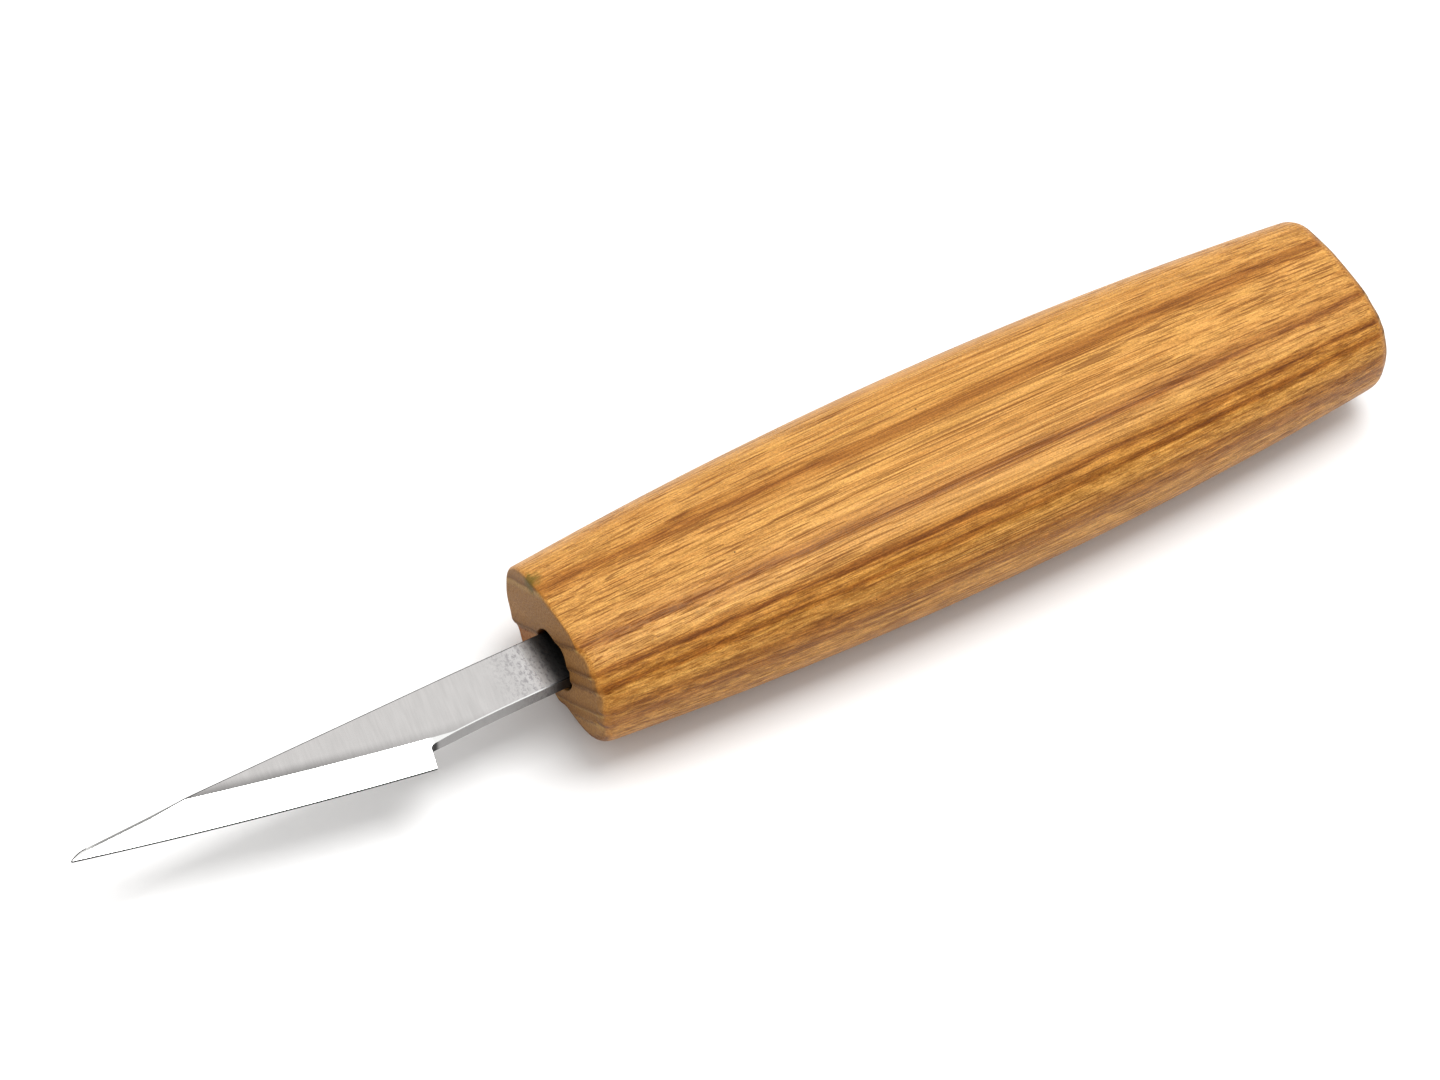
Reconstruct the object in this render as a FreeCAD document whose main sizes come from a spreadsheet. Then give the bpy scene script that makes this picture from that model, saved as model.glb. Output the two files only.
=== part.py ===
import FreeCAD, Part
import math
import os

import Sketcher
from FreeCAD import Placement, Rotation, Vector

# Whittling knife: a short straight-edged detail blade whose hidden tang is glued
# into a barrel-shaped ash handle.
#
# Frame: the knife lies on its side with the origin under its middle. +X points
# towards the butt and -X towards the point, -Y towards the cutting edge and +Y
# towards the spine, +Z up. Millimetres and degrees.
#
# The handle and the blade are each modelled about the middle of the handle's
# front face, then placed.

DIMENSIONS = [
    # Handle
    ("handle_length", 110.0, "front face to butt face"),
    ("belly_width", 28.55, "across the handle at the middle, edge side to spine side"),
    ("end_width", 23.4, "across the handle at both ends"),
    ("belly_thickness", 19.8, "through the handle at the middle, across its rest flats"),
    ("dressing", 0.18, "depth of the rest flat dressed on each broad face"),
    ("end_thickness", 16.2, "through the handle at both ends"),
    ("flat_ratio", 0.17, "width of the flat down the middle of a broad face over the thickness"),
    ("crown_ratio", 1.15, "radius of the crown beside that flat over the thickness there"),
    ("side_ratio", 1.97, "radius of the crowned narrow faces over the thickness there"),
    ("corner_ratio", 0.411, "radius of the long rounded corners over the thickness there"),
    ("front_round", 0.9, "edge round of the front face"),
    ("butt_round", 2.0, "edge round of the butt"),
    # Bore for the tang
    ("bore_diameter", 7.8, "drilled hole in the front face"),
    ("bore_depth", 56.0, "front face to the shoulder of the drill point"),
    ("drill_angle", 118.0, "included angle of the drill point"),
    ("bore_drop", 0.85, "bore and blade lie this far under the handle's middle plane"),
    ("glue_recess", 2.5, "front face to the surface of the set epoxy"),
    # Blade
    ("exposed_length", 60.0, "front face to the point"),
    ("blade_thickness", 1.9, "bar stock thickness"),
    ("spine_straight", 12.0, "front face to where the spine starts to fall"),
    ("spine_fall", 0.75, "angle of the falling spine to the knife's long axis"),
    ("nose_start", 57.9, "front face to the start of the curve from the spine down to the point"),
    ("edge_angle", 11.96, "cutting edge to the knife's long axis"),
    ("edge_radius", 550.0, "slight belly of the cutting edge"),
    ("heel_setback", 18.7, "front face to the heel"),
    ("heel_depth", 6.78, "middle of the tang to the heel"),
    ("grinding_margin", 0.6, "blank left outside the edge, ground away by the bevels"),
    ("bevel_width", 3.95, "cutting edge to the grind line"),
    ("honed_width", 0.15, "width of the honed edge bevel"),
    ("honed_height", 0.075, "half thickness behind the honed edge bevel"),
    ("bevel_sweep", 8.0, "arc that the grinding wheel covers"),
    # Tang
    ("tang_width", 7.06, "straight stretch of the tang"),
    ("relief_start", 6.0, "front face to the start of the relief under the tang"),
    ("relief_radius", 170.0, "relief curve from the tang to the notch"),
    ("notch_radius", 0.55, "inside corner between the relief and the shoulder"),
    ("tang_chamfer", 0.15, "ground chamfer along the tang's lower edges"),
    ("spine_chamfer", 0.2, "broken edges of the spine"),
    ("taper_start", 34.0, "front face to the tang's taper, inside the handle"),
    ("tang_length", 48.0, "front face to the tang's end, inside the handle"),
    ("tang_end_width", 4.0, "tang width at its end"),
    ("key_radius", 0.9, "half-round glue notches in the hidden tang"),
    ("key_first", 10.0, "front face to the first pair of glue notches"),
    ("key_spread", 16.0, "first pair of glue notches to the last"),
]

SIZE = {alias: value for alias, value, meaning in DIMENSIONS}
SECTION_STATIONS = (0.0, 0.25, 0.5, 0.75, 1.0)
KEY_PAIRS = 3
# The grinding section runs on past the blade's flats by this factor, and this
# far past the blank's lower side.
GRIND_OVERRUN = 1.15
GRIND_CLEARANCE = 1.0
# How far the strips that dress the rest flats reach outside the handle.
DRESSING_CLEARANCE = 2.0
# A cut has worked when it removes at least this share of its plain volume.
CUT_SHARE = 0.9
TOUCH = 1e-4


def make_sheet(doc):
    """Driving dimensions: name, value and meaning, one row each."""
    sheet = doc.addObject("Spreadsheet::Sheet", "Dims")
    for row, (alias, value, meaning) in enumerate(DIMENSIONS, start=1):
        sheet.set(f"A{row}", alias)
        sheet.set(f"B{row}", str(value))
        sheet.set(f"C{row}", meaning)
        sheet.setAlias(f"B{row}", alias)
    doc.recompute()
    return sheet


def new_body(doc, label, drop):
    """An empty body whose origin is the middle of the handle's front face, lowered by drop."""
    body = doc.addObject("PartDesign::Body", label)
    body.Label = label
    front = (SIZE["exposed_length"] - SIZE["handle_length"]) / 2
    body.Placement = Placement(Vector(front, 0, SIZE["belly_thickness"] / 2 - drop), Rotation())
    body.setExpression("Placement.Base.x", "(Dims.exposed_length - Dims.handle_length) / 2")
    return body


def origin_plane(body, role):
    return next(item for item in body.Origin.OriginFeatures if item.Role == role)


def new_sketch(body, name, role):
    """An empty sketch on one of the body's own origin planes."""
    sketch = body.newObject("Sketcher::SketchObject", name)
    sketch.AttachmentSupport = [(origin_plane(body, role), "")]
    sketch.MapMode = "FlatFace"
    return sketch


def dimension(sketch, kind, places, value, formula):
    """Adds a driving constraint and binds it to the sheet."""
    index = sketch.addConstraint(Sketcher.Constraint(kind, *places, value))
    sketch.setExpression(f"Constraints[{index}]", formula)


def arc(centre, radius, start, end):
    """Circular arc from angle start to angle end, anticlockwise, in radians."""
    return Part.ArcOfCircle(Part.Circle(centre, Vector(0, 0, 1), radius), start, end)


def line_chain(sketch, points):
    """Closed chain of straight lines; line i runs from point i to the next one."""
    first = sketch.GeometryCount
    count = len(points)
    for index, point in enumerate(points):
        sketch.addGeometry(Part.LineSegment(point, points[(index + 1) % count]), False)
    for index in range(count):
        after = first + (index + 1) % count
        sketch.addConstraint(Sketcher.Constraint("Coincident", first + index, 2, after, 1))


def check_cut(before, after, plain_volume):
    """Stops the build when a cut removed much less than its plain volume."""
    if before.Shape.Volume - after.Shape.Volume < CUT_SHARE * plain_volume:
        raise RuntimeError(f"{after.Name} cut nothing")


def edge_names(shape, wanted):
    """Names of the edges whose sampled points all pass the test."""
    names = []
    for index, edge in enumerate(shape.Edges, start=1):
        if not edge.Degenerated and all(wanted(point) for point in edge.discretize(5)):
            names.append(f"Edge{index}")
    return names


# Handle


def corner_centre(top, right, crown, side, corner):
    """Centre of the corner arc that is tangent to the crown arc and the side arc."""
    span = right - top
    along = ((crown - corner) ** 2 - (side - corner) ** 2 + span.Length**2) / (2 * span.Length)
    across = math.sqrt((crown - corner) ** 2 - along**2)
    unit = span / span.Length
    return top + unit * along + Vector(unit.y, -unit.x, 0) * across


def mirrored(point, across, up):
    return Vector(point.x * across, point.y * up, 0)


def section_sketch(body, number, station):
    """Cross-section of the handle: a flat strip, two crown arcs and two corner arcs
    to each broad face, and one arc to each narrow face, all tangent."""
    bow = (2 * station - 1) ** 2
    width_formula = f"(Dims.belly_width * {1 - bow} + Dims.end_width * {bow})"
    thick_formula = (
        f"((Dims.belly_thickness + 2 * Dims.dressing) * {1 - bow} + Dims.end_thickness * {bow})"
    )
    width = SIZE["belly_width"] * (1 - bow) + SIZE["end_width"] * bow
    belly = SIZE["belly_thickness"] + 2 * SIZE["dressing"]
    thickness = belly * (1 - bow) + SIZE["end_thickness"] * bow
    flat = SIZE["flat_ratio"] * thickness
    crown = SIZE["crown_ratio"] * thickness
    side = SIZE["side_ratio"] * thickness
    corner = SIZE["corner_ratio"] * thickness

    sketch = new_sketch(body, f"Section{number}", "YZ_Plane")
    sketch.AttachmentOffset = Placement(Vector(0, 0, station * SIZE["handle_length"]), Rotation())
    sketch.setExpression("AttachmentOffset.Base.z", f"Dims.handle_length * {station}")

    top = Vector(flat / 2, thickness / 2 - crown, 0)
    right = Vector(width / 2 - side, 0, 0)
    centre = corner_centre(top, right, crown, side, corner)
    shoulder = Vector(flat / 2, thickness / 2, 0)
    lean = math.atan2(centre.y - right.y, centre.x - right.x)
    rise = math.atan2(centre.y - top.y, centre.x - top.x)
    up = math.pi / 2
    for half in (0, 1):
        side_sign = 1 - 2 * half
        turn = half * math.pi
        near = mirrored(centre, side_sign, side_sign)
        far = mirrored(centre, -side_sign, side_sign)
        crown_near = mirrored(top, side_sign, side_sign)
        crown_far = mirrored(top, -side_sign, side_sign)
        strip = Part.LineSegment(
            mirrored(shoulder, side_sign, side_sign),
            mirrored(shoulder, -side_sign, side_sign),
        )
        sketch.addGeometry(arc(right * side_sign, side, turn - lean, turn + lean), False)
        sketch.addGeometry(arc(near, corner, turn + lean, turn + rise), False)
        sketch.addGeometry(arc(crown_near, crown, turn + rise, turn + up), False)
        sketch.addGeometry(strip, False)
        sketch.addGeometry(arc(crown_far, crown, turn + up, turn + 2 * up - rise), False)
        sketch.addGeometry(arc(far, corner, turn + 2 * up - rise, turn + 2 * up - lean), False)

    count = sketch.GeometryCount
    for index in range(count):
        sketch.addConstraint(Sketcher.Constraint("Tangent", index, 2, (index + 1) % count, 1))
    for index in (0, 6):
        sketch.addConstraint(Sketcher.Constraint("PointOnObject", index, 3, -1))
    for index in (3, 9):
        sketch.addConstraint(Sketcher.Constraint("Symmetric", index, 1, index, 2, -2))
    equal = ((0, 6), (3, 9), (2, 4), (2, 8), (2, 10), (1, 5), (1, 7), (1, 11))
    for index, twin in equal:
        sketch.addConstraint(Sketcher.Constraint("Equal", index, twin))

    dimension(sketch, "Radius", (0,), side, f"Dims.side_ratio * {thick_formula}")
    dimension(sketch, "Radius", (2,), crown, f"Dims.crown_ratio * {thick_formula}")
    dimension(sketch, "Radius", (1,), corner, f"Dims.corner_ratio * {thick_formula}")
    dimension(sketch, "DistanceX", (3, 2, 3, 1), flat, f"Dims.flat_ratio * {thick_formula}")
    side_inset = f"Dims.side_ratio * {thick_formula} - {width_formula} / 2"
    dimension(sketch, "DistanceX", (0, 3, -1, 1), side - width / 2, side_inset)
    dimension(sketch, "DistanceX", (-1, 1, 6, 3), side - width / 2, side_inset)
    dimension(sketch, "DistanceY", (-1, 1, 3, 1), thickness / 2, f"{thick_formula} / 2")
    dimension(sketch, "DistanceY", (9, 1, -1, 1), thickness / 2, f"{thick_formula} / 2")
    return sketch


def round_end(doc, body, name, base, station, dimension_name):
    """Rounds the rim of one end face."""
    end = station * SIZE["handle_length"]
    bore_radius = SIZE["bore_diameter"] / 2 + SIZE["bore_drop"]

    def on_rim(point):
        return abs(point.x - end) < TOUCH and math.hypot(point.y, point.z) > bore_radius + TOUCH

    rim = body.newObject("PartDesign::Fillet", name)
    rim.Base = (base, edge_names(base.Shape, on_rim))
    rim.Radius = SIZE[dimension_name]
    rim.setExpression("Radius", f"Dims.{dimension_name}")
    doc.recompute()
    return rim


def dressing_sketch(body):
    """Two strips just outside the handle's thickness, above and below it."""
    half = SIZE["belly_thickness"] / 2
    length = SIZE["handle_length"]
    sketch = new_sketch(body, "Dressing", "XZ_Plane")
    for side in (1, -1):
        near, far = side * half, side * (half + DRESSING_CLEARANCE)
        corners = [Vector(0, near, 0), Vector(length, near, 0)]
        corners += [Vector(length, far, 0), Vector(0, far, 0)]
        line_chain(sketch, corners)
    for first in (0, 4):
        for index, level in enumerate(("Horizontal", "Vertical", "Horizontal", "Vertical")):
            sketch.addConstraint(Sketcher.Constraint(level, first + index))
        sketch.addConstraint(Sketcher.Constraint("PointOnObject", first, 1, -2))
        dimension(sketch, "DistanceX", (first, 1, first, 2), length, "Dims.handle_length")
    half_formula = "Dims.belly_thickness / 2"
    far_formula = f"{half_formula} + {DRESSING_CLEARANCE}"
    dimension(sketch, "DistanceY", (-1, 1, 0, 1), half, half_formula)
    dimension(sketch, "DistanceY", (4, 1, -1, 1), half, half_formula)
    dimension(sketch, "DistanceY", (-1, 1, 2, 1), half + DRESSING_CLEARANCE, far_formula)
    dimension(sketch, "DistanceY", (6, 1, -1, 1), half + DRESSING_CLEARANCE, far_formula)
    return sketch


def make_handle(doc):
    """One piece of ash, barrel-shaped in plan and in side view, with a blind hole for the tang."""
    body = new_body(doc, "handle", 0)
    body.setExpression("Placement.Base.z", "Dims.belly_thickness / 2")
    sections = []
    for number, station in enumerate(SECTION_STATIONS):
        sections.append(section_sketch(body, number, station))
    barrel = body.newObject("PartDesign::AdditiveLoft", "Barrel")
    barrel.Profile = sections[0]
    barrel.Sections = sections[1:]

    mouth = new_sketch(body, "BoreMouth", "YZ_Plane")
    centre = Vector(0, -SIZE["bore_drop"], 0)
    mouth.addGeometry(Part.Circle(centre, Vector(0, 0, 1), SIZE["bore_diameter"] / 2), False)
    mouth.addConstraint(Sketcher.Constraint("PointOnObject", 0, 3, -2))
    dimension(mouth, "DistanceY", (0, 3, -1, 1), SIZE["bore_drop"], "Dims.bore_drop")
    dimension(mouth, "Diameter", (0,), SIZE["bore_diameter"], "Dims.bore_diameter")
    doc.recompute()

    bore = body.newObject("PartDesign::Hole", "Bore")
    bore.Profile = mouth
    doc.recompute()
    bore.DepthType = "Dimension"
    bore.DrillPoint = "Angled"
    bore.Reversed = True
    bore.setExpression("Diameter", "Dims.bore_diameter")
    bore.setExpression("Depth", "Dims.bore_depth")
    bore.setExpression("DrillPointAngle", "Dims.drill_angle")
    doc.recompute()
    plain = math.pi * (SIZE["bore_diameter"] / 2) ** 2 * SIZE["bore_depth"]
    check_cut(barrel, bore, plain)

    front = round_end(doc, body, "FrontRound", bore, 0, "front_round")
    butt = round_end(doc, body, "ButtRound", front, 1, "butt_round")
    flats = body.newObject("PartDesign::Pocket", "RestFlats")
    flats.Profile = dressing_sketch(body)
    flats.Midplane = True
    flats.setExpression("Length", "2 * Dims.belly_width")
    doc.recompute()
    check_cut(butt, flats, SIZE["dressing"] * SIZE["belly_thickness"])
    body.Tip = flats
    doc.recompute()
    return body


# Blade


def relief_points():
    """Centre of the relief arc, centre of the notch arc, and the angle where the two arcs meet."""
    tilt = math.radians(SIZE["edge_angle"])
    up = Vector(math.sin(tilt), math.cos(tilt), 0)
    away = Vector(math.cos(tilt), -math.sin(tilt), 0)
    heel = Vector(-SIZE["heel_setback"], -SIZE["heel_depth"], 0)
    relief = Vector(-SIZE["relief_start"], -SIZE["tang_width"] / 2 - SIZE["relief_radius"], 0)
    start = heel + away * SIZE["notch_radius"] - relief
    reach = SIZE["relief_radius"] - SIZE["notch_radius"]
    half = start.dot(up)
    rise = math.sqrt(half**2 - start.dot(start) + reach**2) - half
    notch = heel + away * SIZE["notch_radius"] + up * rise
    meeting = math.atan2(notch.y - relief.y, notch.x - relief.x)
    return relief, notch, meeting


def heel_and_point():
    """The two ends of the cutting edge."""
    tilt = math.radians(SIZE["edge_angle"])
    run = SIZE["exposed_length"] - SIZE["heel_setback"]
    heel = Vector(-SIZE["heel_setback"], -SIZE["heel_depth"], 0)
    return heel, heel + Vector(-run, run * math.tan(tilt), 0)


def outline_sketch(body):
    """Side view of the blank. Its straight lower side is ground away later."""
    tilt = math.radians(SIZE["edge_angle"])
    half = SIZE["tang_width"] / 2
    tang_end = SIZE["tang_length"]
    tang_half = SIZE["tang_end_width"] / 2
    taper = SIZE["taper_start"]
    down = Vector(-math.sin(tilt), -math.cos(tilt), 0)
    along = Vector(-math.cos(tilt), math.sin(tilt), 0)
    heel, tip = heel_and_point()
    heel_corner = heel + down * SIZE["grinding_margin"]

    fall = math.radians(SIZE["spine_fall"])
    fall_start = Vector(-SIZE["spine_straight"], half, 0)
    fall_run = SIZE["nose_start"] - SIZE["spine_straight"]
    nose_top = fall_start + Vector(-fall_run, -fall_run * math.tan(fall), 0)
    nose_from = math.pi / 2 + fall
    outward = Vector(math.cos(nose_from), math.sin(nose_from), 0)
    nose_radius = (nose_top - tip).Length ** 2 / (2 * outward.dot(nose_top - tip))
    nose_centre = nose_top - outward * nose_radius
    to_corner = nose_centre - heel_corner
    foot = heel_corner + along * to_corner.dot(along)
    gap = (nose_centre - foot).Length
    nose_end = foot + along * math.sqrt(nose_radius**2 - gap**2)
    nose_to = math.atan2(nose_end.y - nose_centre.y, nose_end.x - nose_centre.x) % (2 * math.pi)
    relief, notch, meeting = relief_points()
    notch_to = math.pi - tilt
    notch_radius = SIZE["notch_radius"]
    shoulder_top = notch + Vector(math.cos(notch_to), math.sin(notch_to), 0) * notch_radius

    sketch = new_sketch(body, "Outline", "XY_Plane")
    lines = {
        0: (Vector(tang_end, -tang_half, 0), Vector(tang_end, tang_half, 0)),
        1: (Vector(tang_end, tang_half, 0), Vector(taper, half, 0)),
        2: (Vector(taper, half, 0), fall_start),
        3: (fall_start, nose_top),
        5: (nose_end, heel_corner),
        6: (heel_corner, shoulder_top),
        9: (Vector(-SIZE["relief_start"], -half, 0), Vector(taper, -half, 0)),
        10: (Vector(taper, -half, 0), Vector(tang_end, -tang_half, 0)),
    }
    arcs = {
        4: arc(nose_centre, nose_radius, nose_from, nose_to),
        7: arc(notch, notch_radius, meeting, notch_to),
        8: arc(relief, SIZE["relief_radius"], math.pi / 2, meeting),
    }
    for index in range(11):
        sketch.addGeometry(arcs[index] if index in arcs else Part.LineSegment(*lines[index]), False)
    sketch.addGeometry(Part.Point(tip), True)

    for first, second in ((0, 1), (1, 2), (2, 3), (4, 5), (5, 6), (9, 10), (10, 0)):
        sketch.addConstraint(Sketcher.Constraint("Coincident", first, 2, second, 1))
    for places in ((3, 2, 4, 1), (6, 2, 7, 2), (7, 1, 8, 2), (8, 1, 9, 1)):
        sketch.addConstraint(Sketcher.Constraint("Tangent", *places))
    sketch.addConstraint(Sketcher.Constraint("Vertical", 0))
    sketch.addConstraint(Sketcher.Constraint("Horizontal", 2))
    sketch.addConstraint(Sketcher.Constraint("Horizontal", 9))
    sketch.addConstraint(Sketcher.Constraint("Perpendicular", 5, 6))
    sketch.addConstraint(Sketcher.Constraint("PointOnObject", 11, 1, 4))

    dimension(sketch, "DistanceX", (-1, 1, 0, 1), tang_end, "Dims.tang_length")
    dimension(sketch, "DistanceY", (-1, 1, 0, 2), tang_half, "Dims.tang_end_width / 2")
    dimension(sketch, "DistanceY", (0, 1, -1, 1), tang_half, "Dims.tang_end_width / 2")
    dimension(sketch, "DistanceX", (-1, 1, 2, 1), taper, "Dims.taper_start")
    dimension(sketch, "DistanceX", (-1, 1, 9, 2), taper, "Dims.taper_start")
    dimension(sketch, "DistanceY", (-1, 1, 2, 1), half, "Dims.tang_width / 2")
    dimension(sketch, "DistanceY", (9, 1, -1, 1), half, "Dims.tang_width / 2")
    dimension(sketch, "DistanceX", (2, 2, -1, 1), SIZE["spine_straight"], "Dims.spine_straight")
    drop = "(Dims.nose_start - Dims.spine_straight) * tan(Dims.spine_fall)"
    dimension(sketch, "DistanceY", (3, 2, 3, 1), fall_start.y - nose_top.y, drop)
    dimension(sketch, "DistanceX", (3, 2, -1, 1), SIZE["nose_start"], "Dims.nose_start")
    rise = "(Dims.exposed_length - Dims.heel_setback) * tan(Dims.edge_angle)"
    dimension(sketch, "DistanceX", (11, 1, -1, 1), SIZE["exposed_length"], "Dims.exposed_length")
    dimension(sketch, "DistanceY", (-1, 1, 11, 1), tip.y, f"{rise} - Dims.heel_depth")
    dimension(sketch, "Angle", (5,), -tilt, "-Dims.edge_angle")
    margin_x = "Dims.grinding_margin * sin(Dims.edge_angle)"
    margin_y = "Dims.grinding_margin * cos(Dims.edge_angle)"
    dimension(sketch, "DistanceX", (5, 2, -1, 1), -heel_corner.x, f"Dims.heel_setback + {margin_x}")
    dimension(sketch, "DistanceY", (5, 2, -1, 1), -heel_corner.y, f"Dims.heel_depth + {margin_y}")
    dimension(sketch, "Radius", (7,), notch_radius, "Dims.notch_radius")
    dimension(sketch, "Radius", (8,), SIZE["relief_radius"], "Dims.relief_radius")
    dimension(sketch, "DistanceX", (9, 1, -1, 1), SIZE["relief_start"], "Dims.relief_start")
    return sketch


def bevel_sketch(body):
    """Section of the two bevels, in a plane through the axis of the edge's arc."""
    tilt = math.radians(SIZE["edge_angle"])
    heel, tip = heel_and_point()
    depth = math.sqrt(SIZE["edge_radius"] ** 2 - ((tip - heel).Length / 2) ** 2)
    centre = (heel + tip) / 2 + Vector(math.sin(tilt), math.cos(tilt), 0) * depth

    sketch = new_sketch(body, "BevelSection", "XZ_Plane")
    turn = Rotation(Vector(0, 1, 0), -(90 + SIZE["edge_angle"]))
    sketch.AttachmentOffset = Placement(Vector(centre.x, 0, -centre.y), turn)
    angle = "Dims.edge_angle"
    half_run = "(Dims.exposed_length - Dims.heel_setback) / 2"
    reach = f"sqrt(Dims.edge_radius ^ 2 - ({half_run} / cos({angle})) ^ 2)"
    formula_x = f"-Dims.heel_setback - {half_run} + {reach} * sin({angle})"
    formula_z = f"Dims.heel_depth - {half_run} * tan({angle}) - {reach} * cos({angle})"
    sketch.setExpression("AttachmentOffset.Base.x", formula_x)
    sketch.setExpression("AttachmentOffset.Base.z", formula_z)
    sketch.setExpression("AttachmentOffset.Rotation.Angle", f"-(90 + {angle})")

    radius = SIZE["edge_radius"]
    half = SIZE["blade_thickness"] / 2
    back = GRIND_OVERRUN * (SIZE["bevel_width"] - SIZE["honed_width"]) + SIZE["honed_width"]
    rise = GRIND_OVERRUN * (half - SIZE["honed_height"]) + SIZE["honed_height"]
    outside = SIZE["grinding_margin"] + GRIND_CLEARANCE
    points = [
        Vector(radius, 0, 0),
        Vector(radius - SIZE["honed_width"], SIZE["honed_height"], 0),
        Vector(radius - back, rise, 0),
        Vector(radius + outside, rise, 0),
        Vector(radius + outside, -rise, 0),
        Vector(radius - back, -rise, 0),
        Vector(radius - SIZE["honed_width"], -SIZE["honed_height"], 0),
    ]
    line_chain(sketch, points)
    sketch.addConstraint(Sketcher.Constraint("Horizontal", 2))
    sketch.addConstraint(Sketcher.Constraint("Vertical", 3))
    sketch.addConstraint(Sketcher.Constraint("Horizontal", 4))
    sketch.addConstraint(Sketcher.Constraint("PointOnObject", 0, 1, -1))
    sketch.addConstraint(Sketcher.Constraint("Symmetric", 1, 1, 6, 1, -1))
    sketch.addConstraint(Sketcher.Constraint("Symmetric", 2, 1, 5, 1, -1))
    full_width = "(Dims.bevel_width - Dims.honed_width)"
    full_rise = "(Dims.blade_thickness / 2 - Dims.honed_height)"
    back_formula = f"{GRIND_OVERRUN} * {full_width} + Dims.honed_width"
    rise_formula = f"{GRIND_OVERRUN} * {full_rise} + Dims.honed_height"
    outside_formula = f"Dims.grinding_margin + {GRIND_CLEARANCE}"
    dimension(sketch, "DistanceX", (-1, 1, 0, 1), radius, "Dims.edge_radius")
    dimension(sketch, "DistanceX", (1, 1, 0, 1), SIZE["honed_width"], "Dims.honed_width")
    dimension(sketch, "DistanceY", (-1, 1, 1, 1), SIZE["honed_height"], "Dims.honed_height")
    dimension(sketch, "DistanceX", (2, 1, 0, 1), back, back_formula)
    dimension(sketch, "DistanceY", (-1, 1, 2, 1), rise, rise_formula)
    dimension(sketch, "DistanceX", (0, 1, 3, 1), outside, outside_formula)
    return sketch


def key_sketch(body):
    """First pair of half-round glue notches, one in each edge of the hidden tang."""
    sketch = new_sketch(body, "GlueKeyPair", "XY_Plane")
    half = SIZE["tang_width"] / 2
    for side in (1, -1):
        centre = Vector(SIZE["key_first"], side * half, 0)
        sketch.addGeometry(Part.Circle(centre, Vector(0, 0, 1), SIZE["key_radius"]), False)
    dimension(sketch, "DistanceX", (-1, 1, 0, 3), SIZE["key_first"], "Dims.key_first")
    dimension(sketch, "DistanceY", (-1, 1, 0, 3), half, "Dims.tang_width / 2")
    dimension(sketch, "Radius", (0,), SIZE["key_radius"], "Dims.key_radius")
    sketch.addConstraint(Sketcher.Constraint("Symmetric", 0, 3, 1, 3, -1))
    sketch.addConstraint(Sketcher.Constraint("Equal", 0, 1))
    return sketch


def break_edges(doc, body, name, base, wanted, dimension_name):
    """Small chamfer along the chosen edges."""
    chamfer = body.newObject("PartDesign::Chamfer", name)
    chamfer.Base = (base, edge_names(base.Shape, wanted))
    chamfer.setExpression("Size", f"Dims.{dimension_name}")
    doc.recompute()
    check_cut(base, chamfer, SIZE[dimension_name] ** 2)
    return chamfer


def make_blade(doc):
    """Hardened flat bar: profiled, keyed for glue, edges broken, then ground on both sides."""
    body = new_body(doc, "blade", SIZE["bore_drop"])
    body.setExpression("Placement.Base.z", "Dims.belly_thickness / 2 - Dims.bore_drop")
    blank = body.newObject("PartDesign::Pad", "Blank")
    blank.Profile = outline_sketch(body)
    blank.Midplane = True
    blank.setExpression("Length", "Dims.blade_thickness")
    doc.recompute()

    keys = body.newObject("PartDesign::Pocket", "GlueKeys")
    keys.Profile = key_sketch(body)
    keys.Midplane = True
    keys.setExpression("Length", "2 * Dims.blade_thickness")
    doc.recompute()
    check_cut(blank, keys, math.pi * SIZE["key_radius"] ** 2 * SIZE["blade_thickness"])
    row = body.newObject("PartDesign::LinearPattern", "GlueKeyRow")
    row.Originals = [keys]
    row.Direction = (keys.Profile[0], ["H_Axis"])
    row.Occurrences = KEY_PAIRS
    row.setExpression("Length", "Dims.key_spread")
    body.Tip = row
    doc.recompute()

    half = SIZE["blade_thickness"] / 2
    side = SIZE["tang_width"] / 2
    keyless = SIZE["key_first"] - SIZE["key_radius"] + TOUCH

    def on_rim(point):
        return abs(abs(point.z) - half) < TOUCH and point.x < keyless

    def on_lower_rim(point):
        return on_rim(point) and point.y < TOUCH - side and point.x > -SIZE["heel_setback"]

    def on_spine_rim(point):
        return on_rim(point) and point.y > SIZE["tang_end_width"] / 2

    lower = break_edges(doc, body, "TangChamfer", row, on_lower_rim, "tang_chamfer")
    upper = break_edges(doc, body, "SpineChamfer", lower, on_spine_rim, "spine_chamfer")

    bevels = body.newObject("PartDesign::Groove", "Bevels")
    bevels.Profile = bevel_sketch(body)
    bevels.ReferenceAxis = (bevels.Profile[0], ["V_Axis"])
    bevels.Midplane = True
    bevels.setExpression("Angle", "Dims.bevel_sweep")
    doc.recompute()
    edge_length = SIZE["exposed_length"] - SIZE["heel_setback"]
    check_cut(upper, bevels, edge_length * SIZE["bevel_width"] * SIZE["blade_thickness"] / 2)
    body.Tip = bevels
    doc.recompute()
    return body


# Epoxy


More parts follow.
